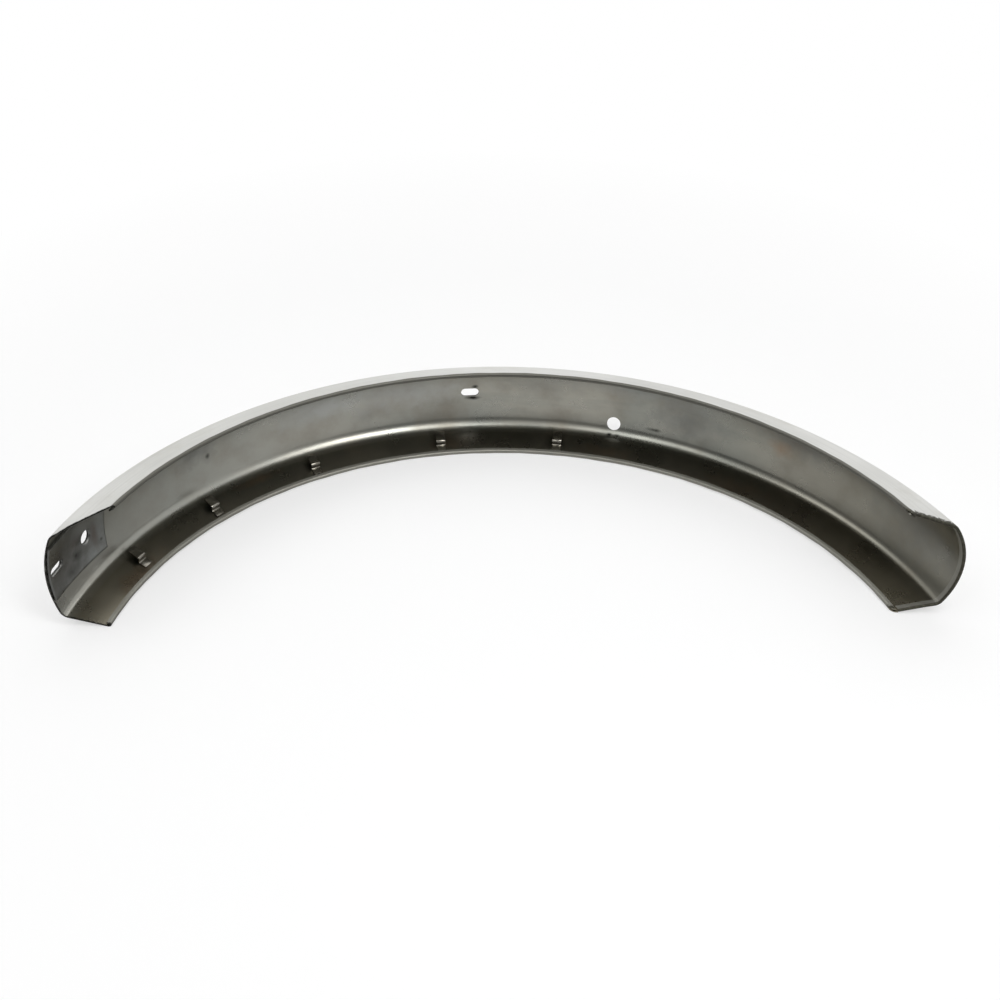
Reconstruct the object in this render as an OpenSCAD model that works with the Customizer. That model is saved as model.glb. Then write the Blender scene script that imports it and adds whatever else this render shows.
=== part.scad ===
// Rear fender of a small motorcycle, pressed from raw sheet steel.
// It lies on its side: the arc is level, its top points to +Y and its rear end to +X.
// Angles along the arc are counted from its top, positive towards the rear end.

/* [Arc] */
// Radius from the wheel axle to the bends between crown and skirts
arc_r = 303.5; // [285:0.5:330]
// Height above the wheel axle at which both ends are trimmed square
trim_y = 81; // [50:0.5:110]

/* [Section] */
// Width of the crown between the two bends, at the top of the arc
crown_w = 50.5; // [44:0.5:62]
// Extra crown width at the two ends
end_widening = 14.5; // [4:0.5:20]
// Rise of the crown above the bends, at the top of the arc
crown_rise = 4.5; // [3.5:0.25:7]
// Rise of the crown at the front end
front_rise = 6.5; // [5:0.25:9]
// Rise of the crown at the rear end
tail_rise = 10.5; // [8:0.25:12]
// Depth of the skirts below the bends, measured towards the axle
skirt_depth = 29; // [27:0.5:36]
// How far each skirt leans outwards
skirt_flare = 10.5; // [6:0.25:12]
// Outer radius of the bends between crown and skirts
bend_r = 8; // [5:0.5:10]
// Thickness of the sheet
sheet_t = 1; // [0.8:0.05:1.3]

/* [Edges] */
// Width of the hem that is folded inwards along each skirt
hem_w = 3.4; // [3:0.1:3.8]
// Gap inside the side hems
hem_gap = 1.2; // [0.4:0.1:1.4]
// Width of the flattened hem across the rear end
rear_hem_w = 5; // [4:0.25:7]
// Radius of the rear corners of the skirts
rear_corner_r = 5; // [4.6:0.1:7]
// How far the upper skirt is cut back at the front, along its free edge
front_cut = 26.5; // [15:0.5:40]
// How far both skirts are cut back at the rear, along their free edges
rear_cut = 3; // [0:0.5:6]

/* [Holes] */
// Diameter of the bolt hole near the front end
bolt_hole_d = 10.5; // [8:0.1:13]
// Distance of the bolt hole from the front end, along the crown
bolt_hole_from_end = 46; // [38:0.5:52]
// Length of the front slot, end to end
front_slot_l = 16; // [10:0.5:18]
// Width of the front slot
front_slot_w = 6.5; // [5:0.1:8]
// Distance of the front slot from the front end, along the crown
front_slot_from_end = 10.5; // [10:0.5:18]
// Length of the middle slot, end to end
mid_slot_l = 13.5; // [9:0.5:20]
// Width of the middle slot
mid_slot_w = 6.5; // [5:0.1:8]
// Angle of the middle slot along the arc
mid_slot_at = -3.3; // [-8:0.1:8]
// Diameter of the hole for the cable, beside the lower bend
cable_hole_d = 10.5; // [7:0.1:11]
// Angle of the cable hole along the arc
cable_hole_at = 17.7; // [12:0.1:30]
// Distance of the cable hole from the middle of the crown
cable_hole_off = 19.5; // [8:0.25:20]

/* [Front plate] */
// Length of the reinforcement plate along its lower edge
plate_l = 63; // [58:0.5:75]
// Extra length of the plate along its upper edge
plate_slant = 6; // [0:0.5:8]
// Width of the reinforcement plate across the crown
plate_w = 42; // [26:0.5:44]
// Distance of the plate from the middle of the crown, towards its upper edge
plate_off = 1; // [-1.5:0.25:1.5]
// Thickness of the reinforcement plate
plate_t = 1.5; // [1:0.1:2]
// Distance from the trimmed end to the edge of the plate
plate_inset = 1.2; // [0.5:0.1:3]

/* [Cable clips] */
// Angles of the five clips along the arc
clip_at = [-60.3, -45.6, -28.2, -8.2, 9.8]; // [-66:0.1:66]
// Distance of each clip from the side hem, as they are set by hand
clip_off = [3.2, 1.7, 1, 0, 0.3]; // [0:0.1:4]
// Width of each clip
clip_w = 7; // [4:0.25:10]
// Thickness of the clip strip
clip_t = 1; // [0.6:0.1:1.4]
// Length of the foot that is welded to the skirt
clip_foot = 6; // [5:0.25:8]
// Room for the cable under the tongue
clip_lift = 3; // [2.5:0.25:5]
// Length of the tongue that reaches over the cable
clip_tongue = 10.5; // [8:0.25:11]
// Inner radius of the bends in a clip
clip_bend_r = 0.8; // [0.4:0.1:1.2]

/* [Clearances] */
// Gap between spot-welded sheets
seat_gap = 0.25; // [0.2:0.05:0.35]
// Gap between the side hem and the feet of the clips
foot_gap = 0.3; // [0.2:0.05:0.6]

/* [Hidden] */

// Steps of the pressed sheet along and across
arc_steps = 36;
crown_steps = 4;
bend_steps = 3;
fold_steps = 5;
front_blend = 7;
rear_blend = 3;
// Steps of the reinforcement plate along and across
plate_steps = 10;
plate_cross = 8;
// Half of a hole cutter's reach through the sheet
cut_reach = 14;

skirt_len = norm([skirt_depth, skirt_flare]);
skirt_dir = [skirt_flare, -skirt_depth] / skirt_len;
skirt_normal = [skirt_depth, skirt_flare] / skirt_len;
skirt_lean = atan2(skirt_flare, skirt_depth);
fold_r = sheet_t + hem_gap / 2;
// Angle at which the bends meet the trim line
end_angle = acos(trim_y / arc_r);
front_crown_angle = acos(trim_y / (arc_r + front_rise));

// Place of the wheel axle in the frame, whose origin is the middle of the base
rear_reach = sqrt(pow(arc_r + tail_rise, 2) - pow(trim_y, 2));
front_reach = sqrt(pow(arc_r + front_rise, 2) - pow(trim_y, 2));
axle_x = (front_reach - rear_reach) / 2;
axle_y = -(arc_r + crown_rise + trim_y) / 2;

// Angle that an arc length covers at the bend radius
function arc_angle(len) = len / arc_r * 180 / PI;

// Section of the sheet at an angle along the arc: across the fender, then out from the axle
function end_share(th) = pow(abs(th) / end_angle, 4);
function half_width(th) = (crown_w + end_widening * end_share(th)) / 2;
function rise(th) =
    crown_rise + ((th > 0 ? tail_rise : front_rise) - crown_rise) * end_share(th);
function crown_r(th) = (pow(half_width(th), 2) + pow(rise(th), 2)) / (2 * rise(th));
function crown_centre(th) = [0, arc_r + rise(th) - crown_r(th)];
function toward(angle) = [sin(angle), cos(angle)];

// The bend is a fillet between the crown's arc and the straight skirt
function bend_offset(th) =
    [half_width(th), arc_r] - bend_r * skirt_normal - crown_centre(th);
function bend_tangent(th) =
    let (q = bend_offset(th), along = q * skirt_dir)
    -along - sqrt(along * along - q * q + pow(crown_r(th) - bend_r, 2));
function bend_centre(th) =
    [half_width(th), arc_r] - bend_r * skirt_normal + bend_tangent(th) * skirt_dir;
function crown_end_angle(th) =
    let (c = bend_centre(th) - crown_centre(th)) atan2(c[0], c[1]);
function skirt_point(th, from_edge) =
    [half_width(th), arc_r] + (skirt_len - from_edge) * skirt_dir;

// Half of the sheet's path, from the middle of the crown to the end of the hem.
// Each step is a point of the outer face and the way that the face looks.
skirt_stops = [15, rear_corner_r + 0.6, hem_w + 1, hem_w + 0.4, fold_r];
bend_first = crown_steps;
skirt_first = bend_first + bend_steps;
fold_first = skirt_first + len(skirt_stops);
path_last = fold_first + fold_steps + 1;
lined_last = skirt_first + 3;

function fold_angle(m) = 180 * (m - fold_first) / fold_steps;
function fold_way(m) = cos(fold_angle(m)) * skirt_normal + sin(fold_angle(m)) * skirt_dir;
function edge_distance(m) =
    m <= skirt_first ? skirt_len
    : m <= fold_first ? skirt_stops[m - skirt_first - 1]
    : m < path_last ? fold_r * (1 - sin(fold_angle(m)))
    : hem_w;

function path_step(th, m) =
    m <= bend_first ?
        let (way = toward(crown_end_angle(th) * m / crown_steps))
        [crown_centre(th) + crown_r(th) * way, way]
    : m <= skirt_first ?
        let (a = crown_end_angle(th), share = (m - bend_first) / bend_steps)
        let (way = toward(a + (90 - skirt_lean - a) * share))
        [bend_centre(th) + bend_r * way, way]
    : m <= fold_first ?
        [skirt_point(th, edge_distance(m)), skirt_normal]
    : m < path_last ?
        let (c = skirt_point(th, fold_r) - fold_r * skirt_normal)
        [c + fold_r * fold_way(m), fold_way(m)]
    : [skirt_point(th, hem_w) - 2 * fold_r * skirt_normal, -skirt_normal];

// A point of the section put in its place on the arc
function on_arc(th, across, out) = [out * sin(th), out * cos(th), across];
function sheet_point(th, m, side, depth) =
    let (s = path_step(th, m), p = s[0] - depth * s[1])
    on_arc(th, side * p[0], p[1]);

// Angles at which the trimmed edges cross each step of the path
function trim_angle(m, sign) =
    acos(trim_y / path_step(sign * end_angle, m)[0][1]);
function skirt_share(m) = 1 - edge_distance(m) / skirt_len;
function rear_end(m) =
    let (d = edge_distance(m), r = rear_corner_r)
    let (corner = d < r ? r - sqrt(r * r - (r - d) * (r - d)) : 0)
    trim_angle(m, 1) - arc_angle(rear_cut * skirt_share(m) + corner);
function front_end(m, side) =
    arc_angle(side > 0 ? front_cut * skirt_share(m) : 0) - trim_angle(m, -1);

// The lower skirt stands on its front corner
half_height = max([for (m = [skirt_first:path_last]) path_step(front_end(m, -1), m)[0][0]]);

// Rear hem: distance from the end, then depth of the outer and of the inner face
rear_rows = [[rear_hem_w + 0.5, 0, 1], [rear_hem_w, 0, 2], [1, 0, 2], [0.4, 0.2, 1.8],
             [0, 0.65, 1.35]];
function row_angle(i, m, side) =
    i <= arc_steps ?
        let (even = -end_angle + 2 * end_angle * i / arc_steps)
        let (front = front_end(m, side) + end_angle)
        let (rear = rear_end(m) - arc_angle(rear_hem_w + 2) - end_angle)
        even + front * max(0, 1 - i / front_blend)
             + rear * max(0, 1 - (arc_steps - i) / rear_blend)
    : rear_end(m) - arc_angle(rear_rows[i - arc_steps - 1][0]);
function face_depth(i, m, face) =
    i <= arc_steps || m > lined_last ? face * sheet_t
    : rear_rows[i - arc_steps - 1][1 + face] * sheet_t;

// One row of the sheet: the outer face from edge to edge, then the inner face
function sheet_row(i) =
    [for (face = [0, 1], k = [-path_last:path_last])
        let (m = abs(k), side = k < 0 ? -1 : 1)
        sheet_point(row_angle(i, m, side), m, side, face_depth(i, m, face))];

// Skin of a sheet from rows that each hold an outer and an inner line of n points
function quad(a, b, c, d) = [[a, b, c], [a, c, d]];
function sheet_faces(rows, n) =
    let (last = (rows - 1) * 2 * n)
    [for (i = [0:rows - 2]) let (p = i * 2 * n, q = p + 2 * n) each [
        for (k = [0:n - 2]) each concat(
            quad(p + k, p + k + 1, q + k + 1, q + k),
            quad(p + n + k, q + n + k, q + n + k + 1, p + n + k + 1)),
        each quad(p, q, q + n, p + n),
        each quad(p + n - 1, p + 2 * n - 1, q + 2 * n - 1, q + n - 1)],
     for (k = [0:n - 2]) each concat(
        quad(k, n + k, n + k + 1, k + 1),
        quad(last + k, last + k + 1, last + n + k + 1, last + n + k))];

module sheet(rows, n) {
    polyhedron(points = [for (row = rows) each row], faces = sheet_faces(len(rows), n),
        convexity = 10);
}

// Puts what is drawn about the wheel axle into the frame
module from_axle() {
    translate([axle_x, axle_y, half_height]) children();
}

// Turns a cutter that stands on the XY plane so that it points out from the axle
module out_at(th, out, tilt = 0) {
    rotate([0, 0, -th]) translate([0, out, 0]) rotate([tilt - 90, 0, 0]) children();
}

module slot_cutter(len, width) {
    for (end = [-1, 1]) translate([end * (len - width) / 2, 0, 0])
        cylinder(d = width, h = 2 * cut_reach, center = true, $fn = 48);
    cube([len - width, width, 2 * cut_reach], center = true);
}

// Holes near the front end go through the shell and the plate alike
module front_holes() {
    crown_out = arc_r + crown_rise;
    out_at(-front_crown_angle + arc_angle(bolt_hole_from_end), crown_out)
        cylinder(d = bolt_hole_d, h = 2 * cut_reach, center = true, $fn = 64);
    out_at(-front_crown_angle + arc_angle(front_slot_from_end), crown_out)
        slot_cutter(front_slot_l, front_slot_w);
}

module middle_holes() {
    out_at(mid_slot_at, arc_r + crown_rise) slot_cutter(mid_slot_l, mid_slot_w);
    slope = asin(cable_hole_off / crown_r(cable_hole_at));
    rotate([0, 0, -cable_hole_at])
        translate([0, crown_centre(cable_hole_at)[1], 0])
            rotate([-90 - slope, 0, 0])
                translate([0, 0, crown_r(cable_hole_at)])
                    cylinder(d = cable_hole_d, h = 8, center = true, $fn = 64);
}

module fender_shell() {
    color([0.45, 0.45, 0.41]) from_axle() difference() {
        sheet([for (i = [0:arc_steps + len(rear_rows)]) sheet_row(i)], 2 * path_last + 1);
        front_holes();
        middle_holes();
    }
}

// The plate follows the inside of the crown
function plate_row(i) =
    [for (face = [0, 1], k = [0:plate_cross])
        let (along = (plate_l + plate_slant * k / plate_cross) * i / plate_steps)
        let (th = -front_crown_angle + arc_angle(plate_inset + along), r = crown_r(th))
        let (a = asin((plate_w * (k / plate_cross - 0.5) + plate_off) / r))
        let (rr = r - sheet_t - seat_gap - face * plate_t)
        on_arc(th, rr * sin(a), crown_centre(th)[1] + rr * cos(a))];

module reinforcement_plate() {
    color([0.36, 0.38, 0.38]) from_axle() difference() {
        sheet([for (i = [0:plate_steps]) plate_row(i)], plate_cross + 1);
        front_holes();
    }
}

// Side view of a clip as one bent strip: the foot, two bends and the tongue.
// Its first number runs up the skirt from the foot's end, its second off the skirt.
clip_rise = clip_lift + clip_t;
function clip_bend(c, from, to, r) =
    [for (k = [0:4]) let (a = from + (to - from) * k / 4) c + r * [cos(a), sin(a)]];
function clip_outline() =
    let (ri = clip_bend_r, ro = clip_bend_r + clip_t)
    let (x1 = clip_foot - ri, x2 = x1 + ri + ro)
    let (c1 = [x1, ro], c2 = [x2, clip_rise - ri])
    concat(
        [[0, 0]], clip_bend(c1, 270, 360, ro),
        clip_bend(c2, 180, 90, ri),
        [[clip_foot + clip_tongue, clip_rise], [clip_foot + clip_tongue, clip_rise + clip_t]],
        clip_bend(c2, 90, 180, ro), clip_bend(c1, 360, 270, ri),
        [[0, clip_t]]);

module cable_clip(n) {
    th = clip_at[n - 1];
    slope = atan((half_width(th + 1) - half_width(th - 1)) / (2 * arc_r * PI / 180));
    foot_at = hem_w + foot_gap + clip_off[n - 1] - skirt_len;
    color([0.52, 0.5, 0.46]) from_axle() rotate([0, 0, -th])
        translate([0, arc_r, -half_width(th)]) rotate([skirt_lean, 0, 0])
            translate([0, foot_at, sheet_t + seat_gap]) rotate([0, slope, 0])
                intersection() {
                    rotate([90, 0, 90]) linear_extrude(height = clip_w, center = true)
                        polygon(clip_outline());
                    clip_plan();
                }
}

// Plan of a clip with its tip rounded
module clip_plan() {
    tip_r = clip_w * 0.3;
    reach = clip_foot + clip_tongue;
    linear_extrude(height = 4 * clip_rise, center = true) union() {
        translate([-clip_w / 2, -1]) square([clip_w, reach + 1 - tip_r]);
        translate([tip_r - clip_w / 2, -1]) square([clip_w - 2 * tip_r, reach + 1]);
        for (side = [-1, 1]) translate([side * (clip_w / 2 - tip_r), reach - tip_r])
            circle(r = tip_r, $fn = 32);
    }
}

module cable_clip_1() { cable_clip(1); }
module cable_clip_2() { cable_clip(2); }
module cable_clip_3() { cable_clip(3); }
module cable_clip_4() { cable_clip(4); }
module cable_clip_5() { cable_clip(5); }

fender_shell();
reinforcement_plate();
cable_clip_1();
cable_clip_2();
cable_clip_3();
cable_clip_4();
cable_clip_5();
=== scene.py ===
import math
import bpy
from mathutils import Matrix, Vector


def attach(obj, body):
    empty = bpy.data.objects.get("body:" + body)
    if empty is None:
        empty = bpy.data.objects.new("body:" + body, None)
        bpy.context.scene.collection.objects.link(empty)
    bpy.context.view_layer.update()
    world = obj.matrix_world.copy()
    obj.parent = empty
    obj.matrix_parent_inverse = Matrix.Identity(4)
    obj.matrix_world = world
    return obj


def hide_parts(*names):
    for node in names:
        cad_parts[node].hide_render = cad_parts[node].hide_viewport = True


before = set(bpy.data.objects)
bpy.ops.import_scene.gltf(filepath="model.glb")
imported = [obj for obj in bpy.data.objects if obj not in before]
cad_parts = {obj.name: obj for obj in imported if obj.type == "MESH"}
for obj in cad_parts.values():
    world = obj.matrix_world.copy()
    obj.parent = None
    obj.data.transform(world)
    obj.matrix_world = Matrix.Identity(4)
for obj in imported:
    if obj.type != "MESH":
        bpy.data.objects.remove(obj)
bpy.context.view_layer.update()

# The fender lies on its side: its arc is level, its top points to +Y and its rear end to +X
axle = Vector((-0.002071, -0.1945, 0.041867))


smoothAngle = 35  # degrees, edges sharper than this stay sharp


# small helpers
def deselectAll():
    if bpy.context.mode != "OBJECT":
        bpy.ops.object.mode_set(mode="OBJECT")
    bpy.ops.object.select_all(action="DESELECT")


def makeActive(piece):
    deselectAll()
    piece.select_set(True)
    bpy.context.view_layer.objects.active = piece


def startPiece(name):
    piece = bpy.context.object
    piece.name = name
    piece.data.name = name
    return piece


def startSelection(kind):
    # nothing is picked, and the mesh is open for picking by a test
    bpy.ops.object.mode_set(mode="EDIT")
    bpy.ops.mesh.select_mode(type=kind)
    bpy.ops.mesh.select_all(action="DESELECT")
    bpy.ops.object.mode_set(mode="OBJECT")


def flipFaces():
    bpy.ops.object.mode_set(mode="EDIT")
    bpy.ops.mesh.select_all(action="SELECT")
    bpy.ops.mesh.flip_normals()
    bpy.ops.object.mode_set(mode="OBJECT")


def fillMap(mesh, uvMap, name, places):
    # each vertex has one place on the map
    uvMap.name = name
    for loop in mesh.loops:
        uvMap.data[loop.index].uv = places[loop.vertex_index]


def placeByMatrix(piece, matrix):
    # the place goes into the mesh, so that the object stays at the origin
    piece.matrix_world = matrix
    makeActive(piece)
    bpy.ops.object.transform_apply(location=True, rotation=True, scale=True)


def applyModifiers(piece):
    makeActive(piece)
    for modifier in list(piece.modifiers):
        bpy.ops.object.modifier_apply(modifier=modifier.name)


def addSolidify(piece, thickness, innerSlot=0, rimSlot=0):
    wall = piece.modifiers.new("wall", "SOLIDIFY")
    wall.thickness = thickness
    wall.offset = -1
    wall.use_even_offset = True
    wall.material_offset = innerSlot
    wall.material_offset_rim = rimSlot


def addBevel(piece, width, limit):
    edge = piece.modifiers.new("edge", "BEVEL")
    edge.width = width
    edge.segments = 2
    edge.limit_method = "ANGLE"
    edge.angle_limit = math.radians(limit)
    edge.harden_normals = False


def cutHoles(piece, cutters):
    for cutter in cutters:
        hole = piece.modifiers.new("hole", "BOOLEAN")
        hole.operation = "DIFFERENCE"
        hole.solver = "EXACT"
        hole.object = cutter
    applyModifiers(piece)


def shadeByAngle(piece):
    makeActive(piece)
    bpy.ops.object.shade_smooth_by_angle(angle=math.radians(smoothAngle))


# the pressed sheet, by its section at an angle along the arc
shell = {
    "arcRadius": 0.3035,
    "trimHeight": 0.081,
    "crownWidth": 0.0505,
    "endWidening": 0.0145,
    "crownRise": 0.0045,
    "frontRise": 0.0065,
    "tailRise": 0.0105,
    "skirtDepth": 0.029,
    "skirtFlare": 0.0105,
    "bendRadius": 0.0115,
    "endBend": 0.008,
    "lowerPush": 0.0021,
    "rearPush": 0.002,
    "sheet": 0.001,
    "hemWidth": 0.0034,
    "hemGap": 0.0012,
    "rearHem": 0.005,
    "rearNose": 0.00105,
    "lipFrom": 0.0044,  # the rear hem is folded only this far from the side edges
    "rearCorner": 0.005,
    "frontCut": 0.0265,
    "rearCut": 0.003,
    "ripple": 0.00010,
    "rows": 190,
    "crownSteps": 20,
    "bendSteps": 12,
    "skirtStops": (22, 18.5, 15, 12, 9.5, 7.6, 6.2, 5.4, 4.8, 4.2, 3.6, 3.0, 2.5, 2.0),
    "foldSteps": 12,
    "flangeStep": 0.0006,
    "lipTurns": 10,
    "lipBacks": (0.0012, 0.0026),
}

skirtLength = math.hypot(shell["skirtDepth"], shell["skirtFlare"])
skirtLean = math.atan2(shell["skirtFlare"], shell["skirtDepth"])
skirtDown = Vector((shell["skirtFlare"], -shell["skirtDepth"])) / skirtLength
skirtOut = Vector((shell["skirtDepth"], shell["skirtFlare"])) / skirtLength
foldRadius = shell["sheet"] + shell["hemGap"] / 2
endAngle = math.acos(shell["trimHeight"] / shell["arcRadius"])


def endShare(angle):
    return (abs(angle) / endAngle) ** 4


def halfWidth(angle):
    return (shell["crownWidth"] + shell["endWidening"] * endShare(angle)) / 2


def crownRiseAt(angle):
    endRise = shell["tailRise"] if angle > 0 else shell["frontRise"]
    return shell["crownRise"] + (endRise - shell["crownRise"]) * endShare(angle)


def bendRadiusAt(angle):
    share = (angle / endAngle) ** 2
    return shell["bendRadius"] + (shell["endBend"] - shell["bendRadius"]) * share


def crownArc(angle):
    # centre height and radius of the crown's arc across the fender
    rise = crownRiseAt(angle)
    radius = (halfWidth(angle) ** 2 + rise ** 2) / (2 * rise)
    return shell["arcRadius"] + rise - radius, radius


def bendArc(angle):
    # centre of the bend and the angle at which the crown runs into it
    centreOut, radius = crownArc(angle)
    bend = bendRadiusAt(angle)
    start = Vector((halfWidth(angle), shell["arcRadius"])) - bend * skirtOut
    offset = start - Vector((0, centreOut))
    along = offset.dot(skirtDown)
    slide = -along - math.sqrt(along ** 2 - offset.dot(offset)
                               + (radius - bend) ** 2)
    centre = start + slide * skirtDown
    return centre, math.atan2(centre.x, centre.y - centreOut)


def towards(angle):
    return Vector((math.sin(angle), math.cos(angle)))


def sectionStops():
    # stops from the middle of the crown to the end of the folded hem
    stops = [("crown", n / shell["crownSteps"]) for n in range(shell["crownSteps"] + 1)]
    stops += [("bend", n / shell["bendSteps"]) for n in range(1, shell["bendSteps"] + 1)]
    stops += [("skirt", distance / 1000) for distance in shell["skirtStops"]]
    stops.append(("skirt", foldRadius))
    stops += [("fold", math.pi * n / shell["foldSteps"])
              for n in range(1, shell["foldSteps"] + 1)]
    stops += [("flange", foldRadius + shell["flangeStep"]), ("flange", shell["hemWidth"])]
    return stops


def edgeDistance(stop):
    # distance from the free edge of the skirt
    kind, value = stop
    if kind in ("crown", "bend"):
        return skirtLength
    if kind == "fold":
        return foldRadius * (1 - math.sin(value))
    return value


def sectionPoint(angle, stop):
    # place on the outer face and the way that the face looks
    kind, value = stop
    edge = Vector((halfWidth(angle), shell["arcRadius"])) + skirtLength * skirtDown
    if kind == "crown":
        centreOut, radius = crownArc(angle)
        way = towards(bendArc(angle)[1] * value)
        return Vector((0, centreOut)) + radius * way, way
    if kind == "bend":
        centre, start = bendArc(angle)
        way = towards(start + (math.pi / 2 - skirtLean - start) * value)
        return centre + bendRadiusAt(angle) * way, way
    if kind == "skirt":
        return edge - value * skirtDown, skirtOut
    middle = edge - foldRadius * skirtDown - foldRadius * skirtOut
    if kind == "fold":
        way = math.cos(value) * skirtOut + math.sin(value) * skirtDown
        return middle + foldRadius * way, way
    return edge - value * skirtDown - 2 * foldRadius * skirtOut, -skirtOut


def hemStart():
    # distance across the sheet's map at which the side hem begins to fold
    stops = sectionStops()
    points = [sectionPoint(0, stop)[0] for stop in stops]
    total = 0
    for stop, a, b in zip(stops[1:], points, points[1:]):
        if stop[0] == "fold":
            break
        total += (b - a).length
    return total


def trimAngle(stop, side):
    out = sectionPoint(side * endAngle, stop)[0].y
    return math.acos(shell["trimHeight"] / out)


def skirtShare(stop):
    return 1 - edgeDistance(stop) / skirtLength


def rearEnd(stop):
    edge, corner = edgeDistance(stop), shell["rearCorner"]
    rounding = corner - math.sqrt(corner ** 2 - (corner - edge) ** 2) if edge < corner else 0
    cut = shell["rearCut"] * skirtShare(stop) + rounding
    return trimAngle(stop, 1) - cut / shell["arcRadius"]


def frontEnd(stop, side):
    cut = shell["frontCut"] * skirtShare(stop) if side > 0 else 0
    return cut / shell["arcRadius"] - trimAngle(stop, -1)


def onArc(angle, across, out):
    return axle + Vector((out * math.sin(angle), out * math.cos(angle), across))


def ripple(angle, side, share):
    # the free edges of a hand-fed hem are never quite even
    wave = math.sin(41 * angle + 1.3 * side) + 0.6 * math.sin(97 * angle + 2.1 + side)
    fade = min(1, 12 * max(0, endAngle - abs(angle)))
    return shell["ripple"] * wave * share ** 2 * fade


def lowerPush(angle):
    # the lower skirt was folded a little steeper than the upper one, most towards the rear
    share = angle / endAngle
    towardsRear = shell["rearPush"] * max(0, share) ** 2
    return (shell["lowerPush"] + towardsRear) * (1 - 0.8 * share ** 6)


def pushShare(stop):
    # the push grows over the crown, is whole on the bend and gone at the free edge
    kind, value = stop
    shares = {"crown": value, "bend": 1, "skirt": edgeDistance(stop) / skirtLength}
    return shares.get(kind, 0)


def hasLip(stop):
    return edgeDistance(stop) > shell["lipFrom"]


def shellPoint(side, stop, step, lipStep):
    # step runs from the front end to the rear end, lipStep round the rear hem
    front = frontEnd(stop, side)
    nose = shell["rearNose"]
    rear = rearEnd(stop) - (nose / shell["arcRadius"] if hasLip(stop) else 0)
    angle = front + (rear - front) * step
    depth = 0
    if lipStep:
        turn, back = lipStep
        angle = rear + (nose * math.sin(turn) - back) / shell["arcRadius"]
        depth = nose * (1 - math.cos(turn))
    place, way = sectionPoint(angle, stop)
    place = place - (depth + ripple(angle, side, skirtShare(stop))) * way
    if side < 0:
        place.x += lowerPush(angle) * pushShare(stop)
    return onArc(angle, side * place.x, place.y)


def lipSteps():
    # the turn round the rear nose, then the way back along the folded flange
    turns = [(math.pi * n / shell["lipTurns"], 0) for n in range(1, shell["lipTurns"] + 1)]
    backs = [*shell["lipBacks"], shell["rearHem"] - shell["rearNose"]]
    return turns + [(math.pi, back) for back in backs]


def pathAcross(columns):
    # distance of each column from the first one along the section
    lengths = [0]
    for (sideA, stopA), (sideB, stopB) in zip(columns, columns[1:]):
        a, b = sectionPoint(0, stopA)[0], sectionPoint(0, stopB)[0]
        lengths.append(lengths[-1] + math.hypot(sideB * b.x - sideA * a.x, b.y - a.y))
    return lengths


def makeShell():
    stops = sectionStops()
    half = len(stops) - 1
    columns = [(-1, stops[n]) for n in range(half, 0, -1)] + [(1, stop) for stop in stops]
    lastMain = shell["rows"]
    rows = [(n / lastMain, None) for n in range(lastMain + 1)]
    rows += [(1, lip) for lip in lipSteps()]
    deselectAll()
    bpy.ops.mesh.primitive_grid_add(x_subdivisions=len(columns) - 1,
                                    y_subdivisions=len(rows) - 1, size=1)
    blank = startPiece("fenderShell")
    mesh = blank.data
    # the flat blank is pressed point by point: its arc, width and rise change together
    across = len(columns)
    pathLength = pathAcross(columns)
    middle = pathLength[half]
    mapPlace, endPlace = [], []
    for vertex in mesh.vertices:
        column, row = vertex.index % across, vertex.index // across
        side, stop = columns[column]
        step, lip = rows[row]
        vertex.co = shellPoint(side, stop, step, lip)
        length = (rearEnd(stop) - frontEnd(stop, side)) * shell["arcRadius"]
        beyond = lip[0] * shell["rearNose"] + lip[1] if lip else 0
        endPlace.append(((1 - step) * length - beyond, step * length))
        along = math.atan2(vertex.co.x - axle.x, vertex.co.y - axle.y) * shell["arcRadius"]
        mapPlace.append((along, pathLength[column] - middle))
    fillMap(mesh, mesh.uv_layers[0], "sheetMap", mapPlace)
    fillMap(mesh, mesh.uv_layers.new(), "endMap", endPlace)
    # the rear hem stops where the side hems begin
    makeActive(blank)
    startSelection("VERT")
    for vertex in mesh.vertices:
        column, row = vertex.index % across, vertex.index // across
        vertex.select = row > lastMain and not hasLip(columns[column][1])
    bpy.ops.object.mode_set(mode="EDIT")
    bpy.ops.mesh.delete(type="VERT")
    bpy.ops.mesh.select_all(action="SELECT")
    bpy.ops.mesh.normals_make_consistent(inside=False)
    bpy.ops.object.mode_set(mode="OBJECT")
    # the crown's faces look away from the axle
    crownFace = max(mesh.polygons, key=lambda face: face.center.y)
    if crownFace.normal.y < 0:
        flipFaces()
    return blank


# holes through the crown, their angles in degrees from the top of the arc
holes = {
    "boltDiameter": 0.0105,
    "boltAngle": -66.17,
    "frontSlot": (0.016, 0.0065),
    "frontSlotAngle": -72.87,
    "middleSlot": (0.0135, 0.0065),
    "middleSlotAngle": -3.3,
    "cableDiameter": 0.0105,
    "cableAngle": 17.7,
    "cableOffset": 0.0195,
    "cableReach": 0.008,
    "reach": 0.028,
    "roundSides": 72,
    "slotSides": 64,
}


def outwardsAt(degrees, out, slope=0.0):
    # matrix whose Z points out from the axle and whose X runs along the arc
    angle = math.radians(degrees)
    return (Matrix.Translation(axle) @ Matrix.Rotation(-angle, 4, "Z")
            @ Matrix.Translation((0, out, 0)) @ Matrix.Rotation(-math.pi / 2 - slope, 4, "X"))


def makeRoundCutter(name, diameter, depth, matrix):
    deselectAll()
    bpy.ops.mesh.primitive_cylinder_add(vertices=holes["roundSides"], radius=diameter / 2,
                                        depth=depth)
    cutter = startPiece(name)
    placeByMatrix(cutter, matrix)
    return cutter


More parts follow.
